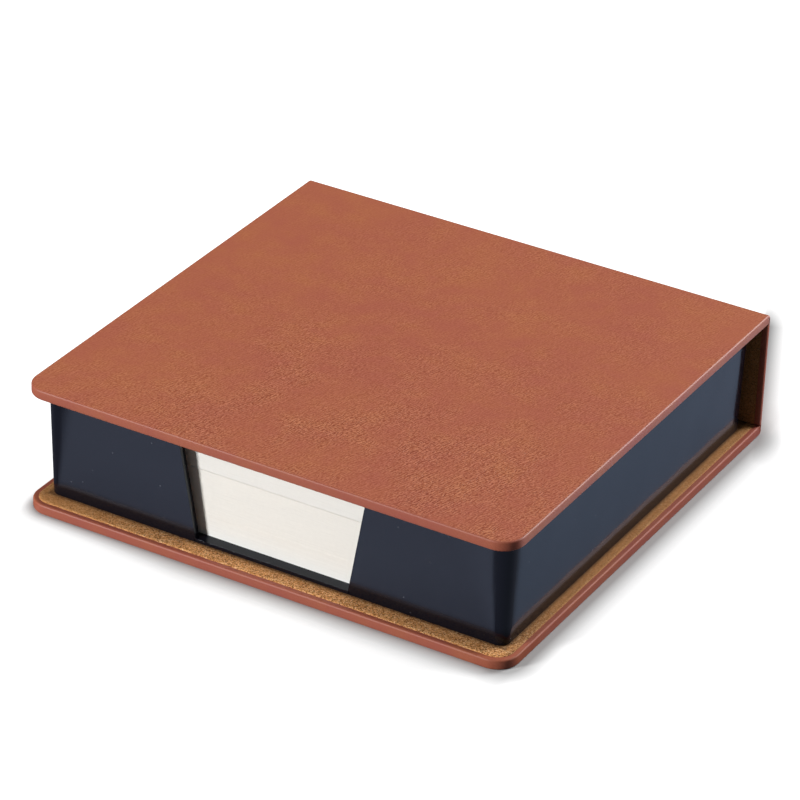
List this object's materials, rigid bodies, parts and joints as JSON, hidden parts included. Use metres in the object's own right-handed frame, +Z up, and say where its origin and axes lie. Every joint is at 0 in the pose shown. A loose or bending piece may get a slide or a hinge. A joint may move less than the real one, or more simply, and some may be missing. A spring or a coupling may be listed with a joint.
{
  "type": "memo pad holder",
  "caption": "Book-style memo pad holder: a wrapped case hinged along its spine closes round a moulded tray with a thumb notch, filled with loose square note sheets.",
  "frame": {"origin": "middle of the closed case's footprint, on the surface it stands on", "axes": "+X to the right along the front with the thumb notch, +Y towards the spine, +Z up"},
  "size_m": [0.115, 0.113, 0.0296],
  "materials": {
    "leatherette": "satin, fine mottled grain",
    "greyboard": "matte",
    "lining": "suede-finish paper, matte",
    "tray_plastic": "gloss, moulded",
    "cream_sheets": "matte, cut edges",
    "white_sheets": "matte, cut edges"
  },
  "bodies": {
    "base": {"base_board": "greyboard", "base_cover": "leatherette", "base_lining": "lining", "lower_fold": "leatherette", "tray": "tray_plastic", "lower_sheets": "white_sheets", "middle_sheets": "cream_sheets", "upper_sheets": "white_sheets"},
    "spine": {"spine_board": "greyboard", "spine_cover": "leatherette", "spine_lining": "lining", "upper_fold": "leatherette"},
    "lid": {"lid_board": "greyboard", "lid_cover": "leatherette", "lid_lining": "lining"}
  },
  "joints": [
    {"name": "spine_hinge", "type": "hinge", "parent": "base", "child": "spine", "pos_m": [0, 0.05609, 0.00041], "axis": [-1, 0, 0], "range_deg": [0, 90], "deforming": ["lower_fold"]},
    {"name": "lid_hinge", "type": "hinge", "parent": "spine", "child": "lid", "pos_m": [0, 0.05609, 0.02919], "axis": [-1, 0, 0], "range_deg": [0, 90], "deforming": ["upper_fold"]}
  ]
}
